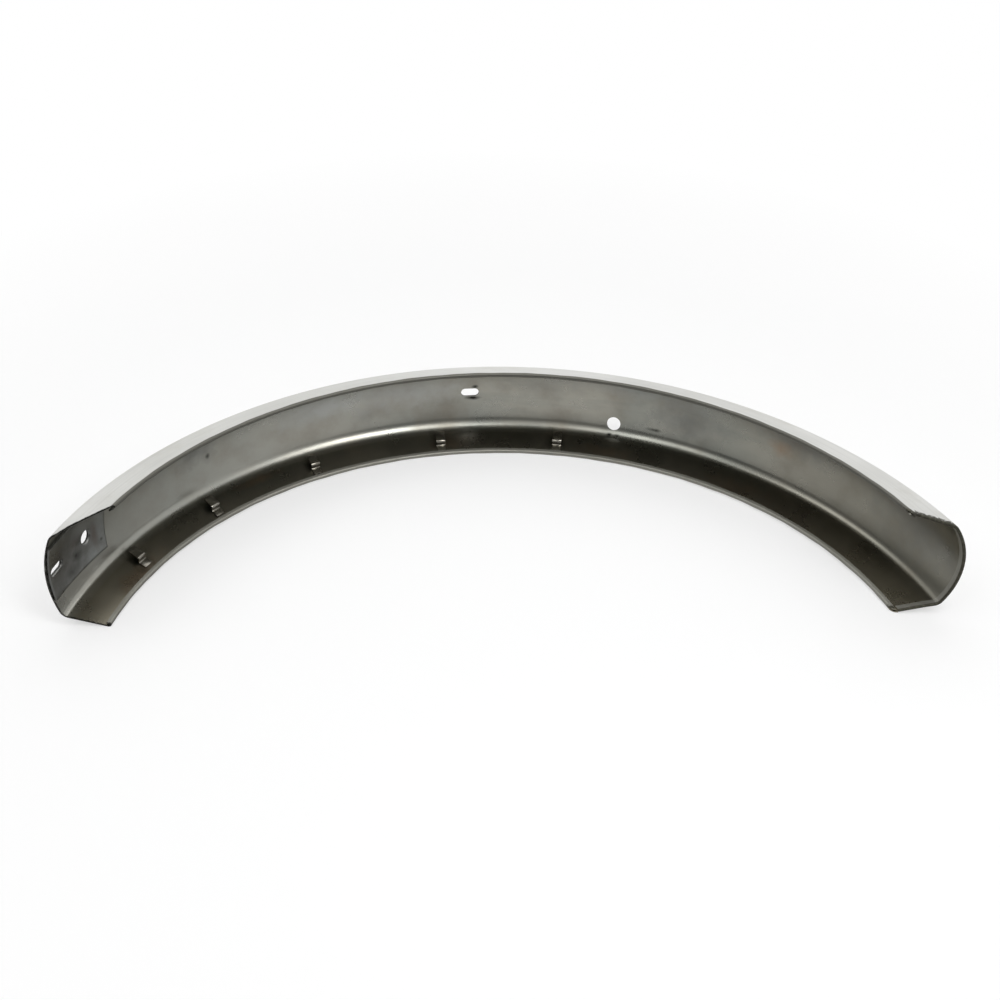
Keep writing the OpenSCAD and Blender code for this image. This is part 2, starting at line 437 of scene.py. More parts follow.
def makeSlotCutter(name, size, degrees):
    # a cylinder whose two halves are drawn apart, turned so that no corner is between them
    length, width = size
    sides = holes["slotSides"]
    deselectAll()
    bpy.ops.mesh.primitive_cylinder_add(vertices=sides, radius=width / 2,
                                        depth=holes["reach"],
                                        rotation=(0, 0, math.pi / sides))
    cutter = startPiece(name)
    bpy.ops.object.transform_apply(location=True, rotation=True, scale=True)
    for side in (-1, 1):
        startSelection("VERT")
        for vertex in cutter.data.vertices:
            vertex.select = vertex.co.x * side > 0
        bpy.ops.object.mode_set(mode="EDIT")
        bpy.ops.transform.translate(value=(side * (length - width) / 2, 0, 0))
        bpy.ops.object.mode_set(mode="OBJECT")
    placeByMatrix(cutter, outwardsAt(degrees, shell["arcRadius"] + shell["crownRise"]))
    return cutter


def makeFrontCutters():
    crownOut = shell["arcRadius"] + shell["crownRise"]
    bolt = makeRoundCutter("boltCutter", holes["boltDiameter"], holes["reach"],
                           outwardsAt(holes["boltAngle"], crownOut))
    return [bolt, makeSlotCutter("frontSlotCutter", holes["frontSlot"],
                                 holes["frontSlotAngle"])]


def makeMiddleCutters():
    angle = math.radians(holes["cableAngle"])
    centreOut, radius = crownArc(angle)
    slope = math.asin(holes["cableOffset"] / radius)
    matrix = (outwardsAt(holes["cableAngle"], centreOut, slope)
              @ Matrix.Translation((0, 0, radius)))
    cable = makeRoundCutter("cableCutter", holes["cableDiameter"], holes["cableReach"],
                            matrix)
    return [cable, makeSlotCutter("middleSlotCutter", holes["middleSlot"],
                                  holes["middleSlotAngle"])]


def dropCutters(cutters):
    for cutter in cutters:
        bpy.data.objects.remove(cutter, do_unlink=True)


# reinforcement plate inside the front end
plate = {
    "length": 0.063,
    "slant": 0.006,
    "width": 0.042,
    "offset": 0.001,
    "thickness": 0.0015,
    "inset": 0.0012,
    "seat": 0.00025,
    "edge": 0.0002,
    "columns": 28,
    "rows": 44,
}


def makePlate():
    deselectAll()
    bpy.ops.mesh.primitive_grid_add(x_subdivisions=plate["columns"],
                                    y_subdivisions=plate["rows"], size=1)
    piece = startPiece("frontPlate")
    frontRise = shell["arcRadius"] + shell["frontRise"]
    first = -math.acos(shell["trimHeight"] / frontRise) + plate["inset"] / shell["arcRadius"]
    mapPlace = []
    for vertex in piece.data.vertices:
        column, row = vertex.co.x + 0.5, vertex.co.y + 0.5
        along = (plate["length"] + plate["slant"] * column) * row
        across = plate["width"] * (column - 0.5) + plate["offset"]
        angle = first + along / shell["arcRadius"]
        centreOut, radius = crownArc(angle)
        turn = math.asin(across / radius)
        out = radius - shell["sheet"] - plate["seat"]
        mapPlace.append((along, across))
        vertex.co = onArc(angle, out * math.sin(turn), centreOut + out * math.cos(turn))
    fillMap(piece.data, piece.data.uv_layers[0], "sheetMap", mapPlace)
    makeActive(piece)
    if piece.data.polygons[0].normal.dot(piece.data.polygons[0].center - axle) < 0:
        flipFaces()
    addSolidify(piece, plate["thickness"])
    return piece


# cable clips, each one a bent strip
clips = {
    "angles": (-60.3, -45.6, -28.2, -8.2, 9.8),
    "width": 0.007,
    "thickness": 0.001,
    "foot": 0.006,
    "lift": 0.003,
    "tongue": 0.0105,
    "tipRound": 0.0021,
    "bendRadius": 0.0008,
    "roundSegments": 8,
    "edge": 0.00012,
    "seat": 0.00025,
    "footGap": 0.0003,
    "fromHem": (0.0032, 0.0017, 0.001, 0.0, 0.0003),
}

closeBy = 0.000005  # vertices nearer than this lie at the same place


def makeClipBlank():
    # underside of the strip: foot, riser and tongue, then its thickness
    deselectAll()
    footEnd = clips["foot"] + clips["thickness"]
    riser = clips["lift"] + clips["thickness"]
    bpy.ops.mesh.primitive_plane_add(size=1)
    piece = startPiece("clipBlank")
    bpy.ops.transform.resize(value=(clips["width"], footEnd, 1))
    bpy.ops.transform.translate(value=(0, footEnd / 2, 0))
    bpy.ops.object.transform_apply(location=True, rotation=True, scale=True)
    for move in ((0, 0, riser), (0, clips["tongue"] - clips["thickness"], 0)):
        startSelection("EDGE")
        top = max(vertex.co.y + vertex.co.z for vertex in piece.data.vertices)
        for edge in piece.data.edges:
            ends = [piece.data.vertices[n].co for n in edge.vertices]
            edge.select = all(end.y + end.z > top - closeBy for end in ends)
        bpy.ops.object.mode_set(mode="EDIT")
        bpy.ops.mesh.extrude_region_move(TRANSFORM_OT_translate={"value": move})
        bpy.ops.object.mode_set(mode="OBJECT")
    # the two bends of the strip, one at a time as their radii differ
    for bendZ, radius in ((0, clips["bendRadius"] + clips["thickness"]),
                          (riser, clips["bendRadius"])):
        startSelection("EDGE")
        for edge in piece.data.edges:
            ends = [piece.data.vertices[n].co for n in edge.vertices]
            edge.select = all(abs(end.z - bendZ) < closeBy and abs(end.y - footEnd) < closeBy
                              for end in ends)
        bpy.ops.object.mode_set(mode="EDIT")
        bpy.ops.mesh.bevel(offset=radius, segments=clips["roundSegments"], affect="EDGES")
        bpy.ops.object.mode_set(mode="OBJECT")
    # rounded corners at the tip of the tongue
    startSelection("VERT")
    tip = max(vertex.co.y for vertex in piece.data.vertices)
    for vertex in piece.data.vertices:
        vertex.select = vertex.co.y > tip - closeBy
    bpy.ops.object.mode_set(mode="EDIT")
    bpy.ops.mesh.bevel(offset=clips["tipRound"], segments=clips["roundSegments"],
                       affect="VERTICES")
    bpy.ops.mesh.select_all(action="SELECT")
    bpy.ops.mesh.normals_make_consistent(inside=False)
    bpy.ops.object.mode_set(mode="OBJECT")
    foot = min(piece.data.polygons, key=lambda face: face.center.y)
    if foot.normal.z > 0:
        flipFaces()
    addSolidify(piece, clips["thickness"])
    addBevel(piece, clips["edge"], 50)
    applyModifiers(piece)
    shadeByAngle(piece)
    return piece


def clipMatrix(degrees, fromHem):
    # a clip stands on the lower skirt, its foot just above the folded hem
    angle = math.radians(degrees)
    step = math.radians(1)
    slope = math.atan((halfWidth(angle + step) - halfWidth(angle - step))
                      / (2 * shell["arcRadius"] * step))
    flare = shell["skirtFlare"] - lowerPush(angle)
    length = math.hypot(shell["skirtDepth"], flare)
    footAt = shell["hemWidth"] + clips["footGap"] + fromHem - length
    return (Matrix.Translation(axle) @ Matrix.Rotation(-angle, 4, "Z")
            @ Matrix.Translation((0, shell["arcRadius"], -halfWidth(angle) - lowerPush(angle)))
            @ Matrix.Rotation(math.atan2(flare, shell["skirtDepth"]), 4, "X")
            @ Matrix.Translation((0, footAt, shell["sheet"] + clips["seat"]))
            @ Matrix.Rotation(slope, 4, "Y"))


def makeClips():
    blank = makeClipBlank()
    made = []
    for number, (degrees, fromHem) in enumerate(zip(clips["angles"], clips["fromHem"]), 1):
        piece = blank.copy()
        piece.data = blank.data.copy()
        piece.name = piece.data.name = "cableClip%d" % number
        bpy.context.scene.collection.objects.link(piece)
        placeByMatrix(piece, clipMatrix(degrees, fromHem))
        made.append(piece)
    bpy.data.objects.remove(blank, do_unlink=True)
    return made


# nodes
def addNode(tree, kind, **settings):
    node = tree.nodes.new(kind)
    for name, value in settings.items():
        setattr(node, name, value)
    return node


def setInputs(node, **values):
    for name, value in values.items():
        node.inputs[name.replace("_", " ")].default_value = value
    return node


def readMap(tree, name):
    return addNode(tree, "ShaderNodeUVMap", uv_map=name).outputs["UV"]


def addNoise(tree, vector, scale, detail, roughness):
    noise = addNode(tree, "ShaderNodeTexNoise")
    setInputs(noise, Scale=scale, Detail=detail, Roughness=roughness)
    tree.links.new(vector, noise.inputs["Vector"])
    return noise.outputs["Fac"]


def splitAxes(tree, vector):
    split = addNode(tree, "ShaderNodeSeparateXYZ")
    tree.links.new(vector, split.inputs[0])
    return split.outputs


def lengthOf(tree, vector):
    length = addNode(tree, "ShaderNodeVectorMath", operation="LENGTH")
    tree.links.new(vector, length.inputs[0])
    return length.outputs["Value"]


def absolute(tree, value):
    node = addNode(tree, "ShaderNodeMath", operation="ABSOLUTE")
    tree.links.new(value, node.inputs[0])
    return node.outputs["Value"]


def combine(tree, operation, first, second):
    node = addNode(tree, "ShaderNodeMath", operation=operation)
    tree.links.new(first, node.inputs[0])
    tree.links.new(second, node.inputs[1])
    return node.outputs["Value"]


def remap(tree, value, low, high, outLow, outHigh):
    node = addNode(tree, "ShaderNodeMapRange")
    setInputs(node, From_Min=low, From_Max=high, To_Min=outLow, To_Max=outHigh)
    tree.links.new(value, node.inputs["Value"])
    return node.outputs["Result"]


def mixColours(tree, factor, first, second):
    mix = addNode(tree, "ShaderNodeMix", data_type="RGBA")
    tree.links.new(factor, mix.inputs[0])
    for value, socket in ((first, mix.inputs[6]), (second, mix.inputs[7])):
        if isinstance(value, tuple):
            socket.default_value = value + (1,)
        else:
            tree.links.new(value, socket)
    return mix.outputs[2]


def mixShaders(tree, factor, first, second):
    mix = addNode(tree, "ShaderNodeMixShader")
    tree.links.new(factor, mix.inputs["Fac"])
    tree.links.new(first, mix.inputs[1])
    tree.links.new(second, mix.inputs[2])
    return mix.outputs["Shader"]


def bumpFrom(tree, height, distance, strength, normal=None):
    node = addNode(tree, "ShaderNodeBump")
    setInputs(node, Strength=strength, Distance=distance)
    tree.links.new(height, node.inputs["Height"])
    if normal:
        tree.links.new(normal, node.inputs["Normal"])
    return node.outputs["Normal"]


def newGroup(name, labels):
    # a group that puts out one mask or value for each label
    tree = bpy.data.node_groups.new(name, "ShaderNodeTree")
    for label in labels:
        tree.interface.new_socket(name=label, in_out="OUTPUT", socket_type="NodeSocketFloat")
    return tree, tree.nodes.new("NodeGroupOutput")


def useGroup(tree, name):
    return addNode(tree, "ShaderNodeGroup", node_tree=bpy.data.node_groups[name]).outputs


# noise of the rolled sheet: scale per metre, detail, roughness
mottling = {
    "Clouds": (7.0, 3.0, 0.55),
    "Blotches": (24.0, 5.0, 0.62),
    "Waves": (38.0, 1.0, 0.4),
    "Grain": (480.0, 1.0, 0.5),
}

# marks along the arc: scale across it, share of that scale along it, detail, roughness
streaking = {
    "Fine": (420.0, 0.03, 1.0, 0.65),
    "Broad": (70.0, 0.12, 3.0, 0.65),
}

# bands on the sheet's map in metres, each from nothing to full
bands = {
    "lowerSkirt": (-0.0275, -0.0345),
    "upperSkirt": (0.023, 0.031),
    "hemBlend": 0.0004,
    "nearHem": 0.036,
    "nearHemShare": 0.8,
    "front": (0.0, -0.18),
    "rear": (0.08, 0.33),
    "ends": (0.25, 0.37),
}

# worn edges by their distance from the end of the fender: worn, clean, wander
wear = {
    "rearEdge": (0.0022, 0.0050, 0.007),
    "frontEdge": (0.0001, 0.0011, 0.0016),
    "rearFlange": (-0.0034, -0.0043),
    "ragged": (420.0, 3.0, 0.6),
}

# soft marks on the sheet: along the arc and across it in millimetres, half sizes, strength
smudges = {
    # holeDarkMarks: dark marks at and near the holes
    "holeDarkMarks": ((-13.6, 5.0, 3.0, 1.9, 1.0), (-15.6, -4.5, 5.6, 1.3, 1.0),
                  (91.5, -27.2, 1.7, 1.6, 1.0), (97.8, -27.2, 2.4, 1.6, 1.0),
                  (126, -16.5, 6.0, 1.4, 1.0), (-228, -2, 1.8, 1.5, 0.7)),
    # clipPaintedShadow is painted shadow round each cable clip
    "clipPaintedShadow": ((-320, -39, 8, 12, 1.0), (-242, -40, 7, 10, 0.8), (-150, -40, 7, 10, 0.8),
                  (-44, -40, 7, 10, 0.7), (51, -40, 9, 11, 0.8)),
    "handMarks": ((-238, 4, 16, 9, 0.5), (-96, -9, 14, 8, 0.3), (36, 6, 30, 9, 0.3),
                  (148, -4, 30, 14, 0.5), (246, 8, 34, 10, 0.5), (352, 2, 40, 18, 0.45)),
    "rustBlooms": ((226, -2, 11, 6, 0.5), (-36, -44, 16, 7, 0.3), (92, -46, 24, 7, 0.3),
                   (206, -45, 30, 8, 0.3), (-196, -36, 18, 4, 0.35), (-330, -48, 26, 8, 0.4)),
    "oilFilm": ((-70, 4, 60, 11, 0.6), (-132, 3, 34, 10, 0.8), (110, 12, 80, 7, 0.3),
                (-300, 12, 40, 10, 0.5)),
    # plateDark: dark smears, a spot-weld mark and a painted shadow at the bolt hole's rim;
    # platePaintedHighlight: a painted highlight with a slight blue
    "plateDark": ((31.8, -6.4, 5.5, 4.5, 1.0), (40, 2, 6, 4, 0.6), (14, 6, 13, 12, 0.45),
                  (59.4, -11.4, 1.6, 1.5, 0.9), (24, -14, 9, 5, 0.6)),
    "platePaintedHighlight": ((48.6, -17.4, 13, 6, 0.9), (60, 2, 8, 18, 0.6)),
    "plateBrown": ((54, -3, 3.5, 13, 0.7), (34, 4, 8, 4, 0.5)),
}

# how ragged the marks are and where they fade out, as shares of their half sizes
smudgeEdge = {
    "ragged": (95.0, 4.0, 0.6),
    "wander": 0.45,
    "clean": 1.25,
    "full": 0.1,
}


def makeMottleGroup():
    # cloudy grey of rolled sheet, from large clouds to fine grain
    tree, out = newGroup("sheetMottle", mottling)
    places = addNode(tree, "ShaderNodeTexCoord").outputs["Object"]
    for label, noise in mottling.items():
        tree.links.new(addNoise(tree, places, *noise), out.inputs[label])


def makeStreakGroup():
    # drawing marks that run along the arc, read from the sheet's own map
    tree, out = newGroup("drawingStreaks", streaking)
    sheetMap = readMap(tree, "sheetMap")
    for label, (scale, stretch, detail, roughness) in streaking.items():
        mapping = addNode(tree, "ShaderNodeMapping")
        mapping.inputs["Scale"].default_value = (stretch, 1, 1)
        tree.links.new(sheetMap, mapping.inputs["Vector"])
        noise = addNoise(tree, mapping.outputs["Vector"], scale, detail, roughness)
        tree.links.new(noise, out.inputs[label])


def makeZoneGroup():
    # 1 on a skirt or a hem and towards an end of the fender, 0 elsewhere
    tree, out = newGroup("sheetZones", ("Lower Skirt", "Upper Skirt", "Hem", "Near Hem",
                                        "Front", "Rear", "Ends"))
    axes = splitAxes(tree, readMap(tree, "sheetMap"))
    along, across = axes["X"], axes["Y"]
    fromMiddle, fromTop = absolute(tree, across), absolute(tree, along)
    hem, blend = hemStart(), bands["hemBlend"]
    for label, place, (nothing, full), share in (
            ("Lower Skirt", across, bands["lowerSkirt"], 1.0),
            ("Upper Skirt", across, bands["upperSkirt"], 1.0),
            ("Hem", fromMiddle, (hem - blend, hem + blend), 1.0),
            ("Near Hem", fromMiddle, (bands["nearHem"], hem), bands["nearHemShare"]),
            ("Front", along, bands["front"], 1.0),
            ("Rear", along, bands["rear"], 1.0),
            ("Ends", fromTop, bands["ends"], 1.0)):
        tree.links.new(remap(tree, place, nothing, full, 0.0, share), out.inputs[label])


def makeEndGroup():
    # 1 on the worn edges at the two ends of the fender, ragged towards the sheet
    tree, out = newGroup("sheetEnds", ("Rear Edge", "Front Edge", "Rear Flange"))
    axes = splitAxes(tree, readMap(tree, "endMap"))
    ragged = addNoise(tree, readMap(tree, "sheetMap"), *wear["ragged"])
    for label, axis, (worn, clean, wander) in (("Rear Edge", "X", wear["rearEdge"]),
                                               ("Front Edge", "Y", wear["frontEdge"])):
        shift = remap(tree, ragged, 0.25, 0.75, -wander / 2, wander / 2)
        uneven = combine(tree, "ADD", axes[axis], shift)
        tree.links.new(remap(tree, uneven, clean, worn, 0.0, 1.0), out.inputs[label])
    flange = remap(tree, axes["X"], *wear["rearFlange"], 0.0, 1.0)
    tree.links.new(flange, out.inputs["Rear Flange"])


def makeSmudgeGroup(name, marks):
    # soft uneven spots at set places of the sheet's map
    tree, out = newGroup(name, ("Mask",))
    sheetMap = readMap(tree, "sheetMap")
    wander = smudgeEdge["wander"]
    ragged = addNoise(tree, sheetMap, *smudgeEdge["ragged"])
    shift = remap(tree, ragged, 0.3, 0.7, -wander, wander)
    total = None
    for along, across, halfAlong, halfAcross, strength in marks:
        centred = addNode(tree, "ShaderNodeMapping", vector_type="TEXTURE")
        centred.inputs["Location"].default_value = (along / 1000, across / 1000, 0)
        centred.inputs["Scale"].default_value = (halfAlong / 1000, halfAcross / 1000, 1)
        tree.links.new(sheetMap, centred.inputs["Vector"])
        uneven = combine(tree, "ADD", lengthOf(tree, centred.outputs["Vector"]), shift)
        spot = remap(tree, uneven, smudgeEdge["clean"], smudgeEdge["full"], 0.0, strength)
        total = spot if total is None else combine(tree, "MAXIMUM", total, spot)
    tree.links.new(total, out.inputs["Mask"])


# Masks give the noise values at which a shade starts and is full, then its least and most
# share. Pairs of colours are the plain and the blotched one. Bumps are distance, strength.
# the inside's colours are darker than the outside's: painted shade on the same steel
insideSteel = {
    "cloudMask": (0.38, 0.62, 0.0, 1.0),
    "clouds": ((0.232, 0.250, 0.232), (0.345, 0.335, 0.292)),
    "blotchMask": (0.48, 0.72, 0.0, 0.6),
    "blotch": (0.23, 0.205, 0.165),
    "streakMask": (0.5, 0.75, 0.0, 0.35),
    "streak": (0.18, 0.205, 0.198),
    # rear: painted shade, the crown darker towards the rear end, with an olive-brown tint
    "rearPaintedShadeShare": 0.85,
    "rear": ((0.182, 0.174, 0.143), (0.155, 0.137, 0.102)),
    # front: painted light, the crown lighter towards the front end
    "frontPaintedLightShare": 0.6,
    "front": ((0.42, 0.415, 0.375), (0.33, 0.31, 0.265)),
    # lowerSkirt, its zones and upperSkirt are painted shade: the skirts' insides darker than
    # the crown, the lower one less so near the hem, towards the rear and at the ends
    "lowerSkirt": ((0.14, 0.135, 0.112), (0.175, 0.155, 0.12)),
    "lowerSkirtPaintedShadeZones": {"Near Hem": (0.21, 0.195, 0.16), "Rear": (0.215, 0.195, 0.155),
                        "Ends": (0.25, 0.23, 0.18)},
    "upperSkirt": (0.17, 0.165, 0.14),
    # clipPaintedShadow in these marks is painted shadow round the clips
    "marks": {"handMarks": (0.15, 0.155, 0.15), "oilFilm": (0.40, 0.405, 0.39),
              "rustBlooms": (0.25, 0.165, 0.10), "clipPaintedShadow": (0.055, 0.052, 0.038),
              "holeDarkMarks": (0.02, 0.02, 0.017)},
    "frontEdge": (0.05, 0.05, 0.045),
    "roughness": (0.24, 0.36),
    "grainBump": (0.00002, 0.15),
    "streakBump": (0.00002, 0.2),
    "waveBump": (0.0006, 0.3),
}

# the outside's colours are lighter than the inside's: painted light on the same steel
outsideSteel = {
    "cloudMask": (0.38, 0.62, 0.0, 1.0),
    "clouds": ((0.635, 0.635, 0.606), (0.73, 0.73, 0.706)),
    "blotchMask": (0.55, 0.75, 0.0, 0.5),
    "blotch": (0.56, 0.55, 0.503),
    "streakMask": (0.45, 0.7, 0.0, 0.3),
    "streak": (0.54, 0.54, 0.522),
    # hem, upperHemPaintedShade and rearFlange are painted shade: the folded hems and the rear
    # flange darker than the rest of the outside
    "hem": ((0.26, 0.255, 0.225), (0.20, 0.18, 0.14)),
    "upperHemPaintedShade": (0.13, 0.128, 0.112),
    "rearEdge": ((0.06, 0.058, 0.045), (0.17, 0.16, 0.125)),
    "rearFlange": (0.27, 0.265, 0.235),
    "frontEdge": (0.06, 0.06, 0.055),
    "roughness": (0.44, 0.56),
    "grainBump": (0.00003, 0.4),
    "streakBump": (0.00003, 0.4),
}

plateSteel = {
    "blotchMask": (0.4, 0.62, 0.0, 1.0),
    "plain": ((0.175, 0.175, 0.165), (0.27, 0.275, 0.265)),
    "marks": {"platePaintedHighlight": (0.31, 0.325, 0.315), "plateBrown": (0.17, 0.14, 0.125),
              "plateDark": (0.062, 0.062, 0.058)},
    "roughness": (0.24, 0.4),
    "grainBump": (0.00004, 0.5),
}

clipSteel = {
    "blotchMask": (0.4, 0.65, 0.0, 1.0),
    "plain": ((0.32, 0.31, 0.275), (0.21, 0.195, 0.165)),
    "marks": {},
    "roughness": (0.14, 0.24),
    "grainBump": (0.00004, 0.5),
}


def newMetal(name):
    material = bpy.data.materials.new(name)
    material.use_nodes = True
    shader = material.node_tree.nodes["Principled BSDF"]
    shader.inputs["Metallic"].default_value = 1.0
    return material, material.node_tree, shader


def addMarks(tree, colour, marks):
    for name, shade in marks.items():
        colour = mixColours(tree, useGroup(tree, name)["Mask"], colour, shade)
    return colour


def finishMetal(tree, shader, mottle, colour, roughness, normal):
    # the roughness follows the blotches
    rough = remap(tree, mottle["Blotches"], 0.3, 0.7, *roughness)
    tree.links.new(colour, shader.inputs["Base Color"])
    tree.links.new(rough, shader.inputs["Roughness"])
    tree.links.new(normal, shader.inputs["Normal"])


def makeInsideSteel():
    # the inside, a darker copy of the outside's steel as painted shade: grey crown, skirts
    # darker still as painted shade, brown blooms and handling marks
    look = insideSteel
    material, tree, shader = newMetal("steelInside")
    mottle, streaks, zones, ends = (useGroup(tree, name) for name in
                                    ("sheetMottle", "drawingStreaks", "sheetZones",
                                     "sheetEnds"))
    clouds = remap(tree, mottle["Clouds"], *look["cloudMask"])
    blotch = remap(tree, mottle["Blotches"], *look["blotchMask"])
    broad = remap(tree, streaks["Broad"], *look["streakMask"])
    colour = mixColours(tree, clouds, *look["clouds"])
    colour = mixColours(tree, blotch, colour, look["blotch"])
    colour = mixColours(tree, broad, colour, look["streak"])
    # painted shade on the crown towards the rear end, painted light towards the front end
    for label, shades, most in (("Rear", look["rear"], look["rearPaintedShadeShare"]),
                                ("Front", look["front"], look["frontPaintedLightShare"])):
        share = remap(tree, zones[label], 0.0, 1.0, 0.0, most)
        colour = mixColours(tree, share, colour, mixColours(tree, blotch, *shades))
    # the skirts' darker colours are painted shade
    skirtPaintedShade = mixColours(tree, blotch, *look["lowerSkirt"])
    for label, shade in look["lowerSkirtPaintedShadeZones"].items():
        skirtPaintedShade = mixColours(tree, zones[label], skirtPaintedShade, shade)
    colour = mixColours(tree, zones["Lower Skirt"], colour, skirtPaintedShade)
    colour = mixColours(tree, zones["Upper Skirt"], colour, look["upperSkirt"])
    colour = addMarks(tree, colour, look["marks"])
    colour = mixColours(tree, ends["Front Edge"], colour, look["frontEdge"])
    normal = bumpFrom(tree, mottle["Grain"], *look["grainBump"])
    normal = bumpFrom(tree, streaks["Fine"], *look["streakBump"], normal)
    normal = bumpFrom(tree, mottle["Waves"], *look["waveBump"], normal)
    finishMetal(tree, shader, mottle, colour, look["roughness"], normal)
    return material


def makeOutsideSteel():
    # the outside, a lighter copy of the inside's steel as painted light, darker as painted
    # shade where the hem is folded, and its edge is worn
    look = outsideSteel
    material, tree, shader = newMetal("steelOutside")
    mottle, streaks, zones, ends = (useGroup(tree, name) for name in
                                    ("sheetMottle", "drawingStreaks", "sheetZones",
                                     "sheetEnds"))
    clouds = remap(tree, mottle["Clouds"], *look["cloudMask"])
    blotch = remap(tree, mottle["Blotches"], *look["blotchMask"])
    fine = remap(tree, streaks["Fine"], *look["streakMask"])
    colour = mixColours(tree, clouds, *look["clouds"])
    colour = mixColours(tree, blotch, colour, look["blotch"])
    colour = mixColours(tree, fine, colour, look["streak"])
    # the folded hem darker as painted shade, the upper one darker still
    hemPaintedShade = mixColours(tree, blotch, *look["hem"])
    hemPaintedShade = mixColours(tree, zones["Upper Skirt"], hemPaintedShade, look["upperHemPaintedShade"])
    colour = mixColours(tree, zones["Hem"], colour, hemPaintedShade)
    grime = mixColours(tree, fine, *look["rearEdge"])
    colour = mixColours(tree, ends["Rear Edge"], colour, grime)
    # the rear flange darker as painted shade
    colour = mixColours(tree, ends["Rear Flange"], colour, look["rearFlange"])
    colour = mixColours(tree, ends["Front Edge"], colour, look["frontEdge"])
    normal = bumpFrom(tree, mottle["Grain"], *look["grainBump"])
    normal = bumpFrom(tree, streaks["Fine"], *look["streakBump"], normal)
    finishMetal(tree, shader, mottle, colour, look["roughness"], normal)
    return material


def makePieceSteel(name, look):
    # the plate has a painted highlight with a slight blue, smears of oil and a painted shadow
    # at the bolt hole, the clips are plain
    material, tree, shader = newMetal(name)
    mottle = useGroup(tree, "sheetMottle")
    blotch = remap(tree, mottle["Blotches"], *look["blotchMask"])
    colour = addMarks(tree, mixColours(tree, blotch, *look["plain"]), look["marks"])
    normal = bumpFrom(tree, mottle["Grain"], *look["grainBump"])
    finishMetal(tree, shader, mottle, colour, look["roughness"], normal)
    return material


def makeMaterials():
    makeMottleGroup()
    makeStreakGroup()
    makeZoneGroup()
    makeEndGroup()
    for name, marks in smudges.items():
        makeSmudgeGroup(name, marks)
    return {"outer": makeOutsideSteel(), "inner": makeInsideSteel(),
            "plate": makePieceSteel("plateSteel", plateSteel),
            "clip": makePieceSteel("clipSteel", clipSteel)}


# the stage is a pale floor that the part rests on, a soft light and the camera
stage = {
    "restNormal": (-0.00032, -0.0337, 0.99943),
    "restHeight": 0.0039115,
    "floorSize": 6.0,
    "floorColour": (0.96, 0.96, 0.96),
    "floorPlain": 0.5,
    "floorBand": (0.36, 0.62),
    "tableBand": (-0.04, 0.2),
    "tableBeyond": 0.17,
    "dimSide": (-0.42, -0.91, 0),
    "cameraPlace": (-0.06657, -0.95089, 0.68728),
    "cameraYaw": 0.0679956,
    "cameraPitch": 0.6113674,
    "cameraRoll": 0.0293468,
    "cameraLens": 58.2627,
}


def lightPathMask(tree):
    # 1 for rays from the camera and for reflections and refractions
    path = addNode(tree, "ShaderNodeLightPath").outputs
    either = combine(tree, "MAXIMUM", path["Is Camera Ray"], path["Is Glossy Ray"])
    return combine(tree, "MAXIMUM", either, path["Is Transmission Ray"])


def towardsDim(tree, direction):
    # how far a place or a direction lies to the dim side of the room
    dot = addNode(tree, "ShaderNodeVectorMath", operation="DOT_PRODUCT")
    dot.inputs[1].default_value = stage["dimSide"]
    tree.links.new(direction, dot.inputs[0])
    return dot.outputs["Value"]


def makeFloorWhite():
    # beyond the shadow the floor is plain white for the camera and in reflections,
    # and it ends in a dim room far in front of the part
    material = bpy.data.materials.new("floorWhite")
    material.use_nodes = True
    tree = material.node_tree
    tree.nodes.clear()
    out = addNode(tree, "ShaderNodeOutputMaterial")
    matt = addNode(tree, "ShaderNodeBsdfDiffuse")
    matt.inputs["Color"].default_value = stage["floorColour"] + (1,)
    white = addNode(tree, "ShaderNodeEmission")
    places = addNode(tree, "ShaderNodeTexCoord").outputs["Object"]
    ahead = remap(tree, towardsDim(tree, places), *stage["tableBand"], 0.0, 1.0)
    glossy = addNode(tree, "ShaderNodeLightPath").outputs["Is Glossy Ray"]
    dim = combine(tree, "MULTIPLY", ahead, glossy)
    tree.links.new(remap(tree, dim, 0.0, 1.0, 1.0, stage["tableBeyond"]),
                   white.inputs["Strength"])
    away = remap(tree, lengthOf(tree, places), *stage["floorBand"], stage["floorPlain"], 1.0)
    plain = combine(tree, "MULTIPLY", away, lightPathMask(tree))
    seen = mixShaders(tree, plain, matt.outputs["BSDF"], white.outputs["Emission"])
    tree.links.new(seen, out.inputs["Surface"])
    return material


def makeFloor():
    deselectAll()
    bpy.ops.mesh.primitive_plane_add(size=stage["floorSize"])
    floor = startPiece("floor")
    up = Vector(stage["restNormal"]).normalized()
    turn = Vector((0, 0, 1)).rotation_difference(up).to_matrix().to_4x4()
    placeByMatrix(floor, Matrix.Translation(up * stage["restHeight"]) @ turn)
    floor.data.materials.append(makeFloorWhite())


room = {
    "softLight": 0.40,
    "frontDark": 0.28,
    "backWhite": 1.0,
    "wallGrey": (0.8, 0.8, 0.8),
    "dimBand": (0.0, 0.5),
    "ceilingBand": (0.3, 0.6),
    "ceiling": 0.3,
}


def addBackground(tree, colour, strength):
    node = addNode(tree, "ShaderNodeBackground")
    return setInputs(node, Color=colour + (1,), Strength=strength)


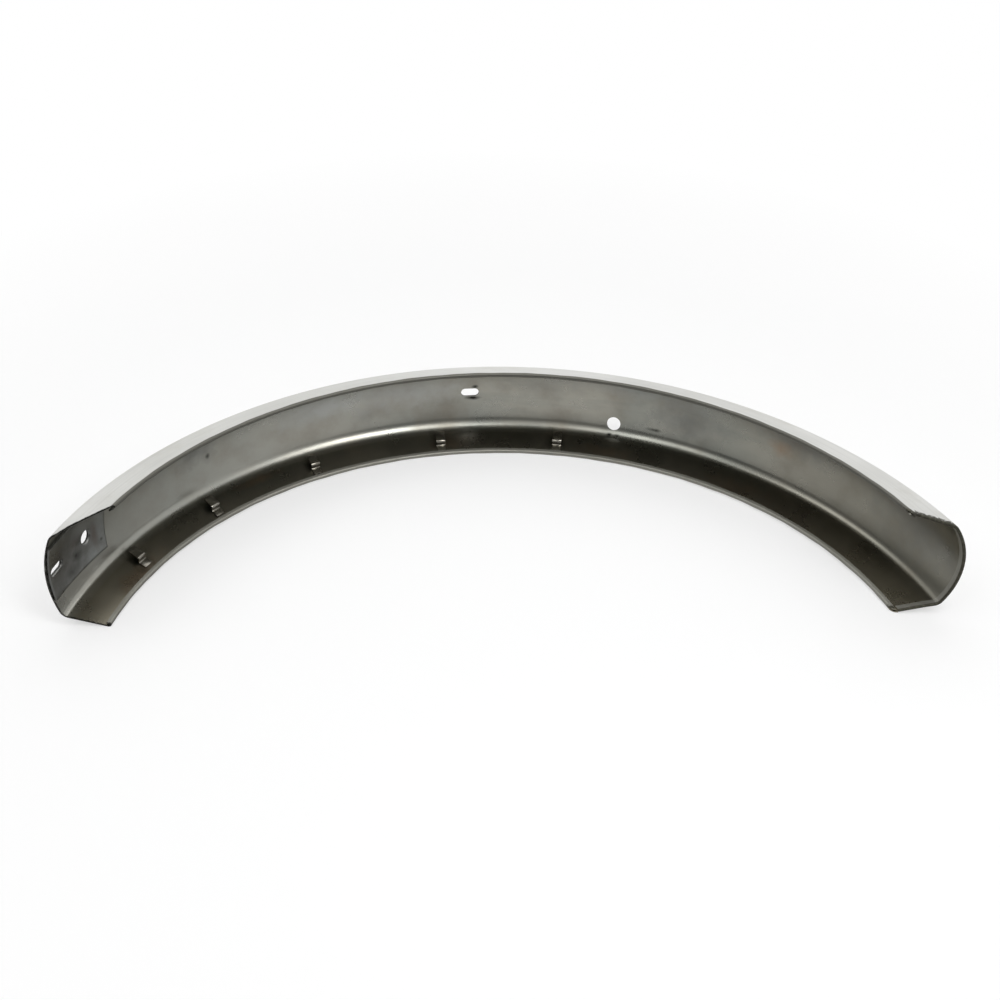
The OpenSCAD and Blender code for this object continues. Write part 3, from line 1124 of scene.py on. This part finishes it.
def makeWorld():
    # white behind the part, and a dimmer room in front of it that shows in the metal
    world = bpy.data.worlds.new("studio")
    bpy.context.scene.world = world
    world.use_nodes = True
    tree = world.node_tree
    tree.nodes.clear()
    out = addNode(tree, "ShaderNodeOutputWorld")
    soft = addBackground(tree, (1, 1, 1), room["softLight"]).outputs["Background"]
    white = addBackground(tree, (1, 1, 1), 1.0).outputs["Background"]
    walls = addBackground(tree, room["wallGrey"], room["backWhite"])
    places = addNode(tree, "ShaderNodeTexCoord").outputs["Generated"]
    ahead = remap(tree, towardsDim(tree, places), *room["dimBand"], 0.0, 1.0)
    height = splitAxes(tree, places)["Z"]
    low = remap(tree, height, *room["ceilingBand"], 1.0, room["ceiling"])
    dim = combine(tree, "MULTIPLY", ahead, low)
    shade = remap(tree, dim, 0.0, 1.0, room["backWhite"], room["frontDark"])
    tree.links.new(shade, walls.inputs["Strength"])
    path = addNode(tree, "ShaderNodeLightPath").outputs
    lit = mixShaders(tree, path["Is Glossy Ray"], soft, walls.outputs["Background"])
    plain = combine(tree, "MAXIMUM", path["Is Camera Ray"], path["Is Transmission Ray"])
    tree.links.new(mixShaders(tree, plain, lit, white), out.inputs["Surface"])


lamps = {
    "leftBox": {"place": (-0.50, -0.68, 1.26), "size": (0.5, 0.9), "power": 2.8},
    "rightBox": {"place": (0.52, -0.71, 1.26), "size": (0.5, 0.9), "power": 8.5},
    "sideBox": {"place": (-0.95, 0.05, 1.3), "size": (0.6, 0.9), "power": 2.6},
    "backBox": {"place": (0.1, 0.95, 1.5), "size": (2.2, 1.4), "power": 9.0},
}


def makeLamps():
    # soft boxes that all look at the middle of the stage
    for name, lamp in lamps.items():
        deselectAll()
        bpy.ops.object.light_add(type="AREA", location=lamp["place"])
        light = bpy.context.object
        light.name = name
        light.data.shape = "RECTANGLE"
        light.data.size, light.data.size_y = lamp["size"]
        light.data.energy = lamp["power"]
        aim = -Vector(lamp["place"])
        light.rotation_euler = aim.to_track_quat("-Z", "Y").to_euler()


def makeCamera():
    yaw, pitch, roll = stage["cameraYaw"], stage["cameraPitch"], stage["cameraRoll"]
    ahead = Vector((math.sin(yaw) * math.cos(pitch), math.cos(yaw) * math.cos(pitch),
                    -math.sin(pitch)))
    level = Vector((math.cos(yaw), -math.sin(yaw), 0))
    above = level.cross(ahead)
    right = math.cos(roll) * level + math.sin(roll) * above
    top = math.cos(roll) * above - math.sin(roll) * level
    deselectAll()
    bpy.ops.object.camera_add(location=stage["cameraPlace"])
    camera = bpy.context.object
    turn = Matrix((right, top, -ahead)).transposed().to_4x4()
    camera.matrix_world = Matrix.Translation(stage["cameraPlace"]) @ turn
    camera.data.sensor_width = 36
    camera.data.lens = stage["cameraLens"]
    camera.data.clip_start = 0.01
    bpy.context.scene.camera = camera


print("stage and camera")
makeCamera()
makeFloor()
makeWorld()
makeLamps()
finishes = makeMaterials()

print("fender shell")
fenderShell = makeShell()
fenderShell.data.materials.append(finishes["outer"])
fenderShell.data.materials.append(finishes["inner"])
addSolidify(fenderShell, shell["sheet"], 1, 1)
applyModifiers(fenderShell)
frontCutters = makeFrontCutters()
middleCutters = makeMiddleCutters()
cutHoles(fenderShell, frontCutters + middleCutters)
shadeByAngle(fenderShell)
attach(fenderShell, "root")
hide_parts("fender_shell")
print("  triangles", sum(len(face.vertices) - 2 for face in fenderShell.data.polygons))

print("front plate")
frontPlate = makePlate()
frontPlate.data.materials.append(finishes["plate"])
applyModifiers(frontPlate)
cutHoles(frontPlate, frontCutters)
addBevel(frontPlate, plate["edge"], 40)
applyModifiers(frontPlate)
shadeByAngle(frontPlate)
dropCutters(frontCutters + middleCutters)
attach(frontPlate, "root")
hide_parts("reinforcement_plate")

print("cable clips")
for number, clip in enumerate(makeClips(), 1):
    clip.data.materials.append(finishes["clip"])
    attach(clip, "root")
    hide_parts("cable_clip_%d" % number)

bpy.context.scene.view_settings.view_transform = "Standard"
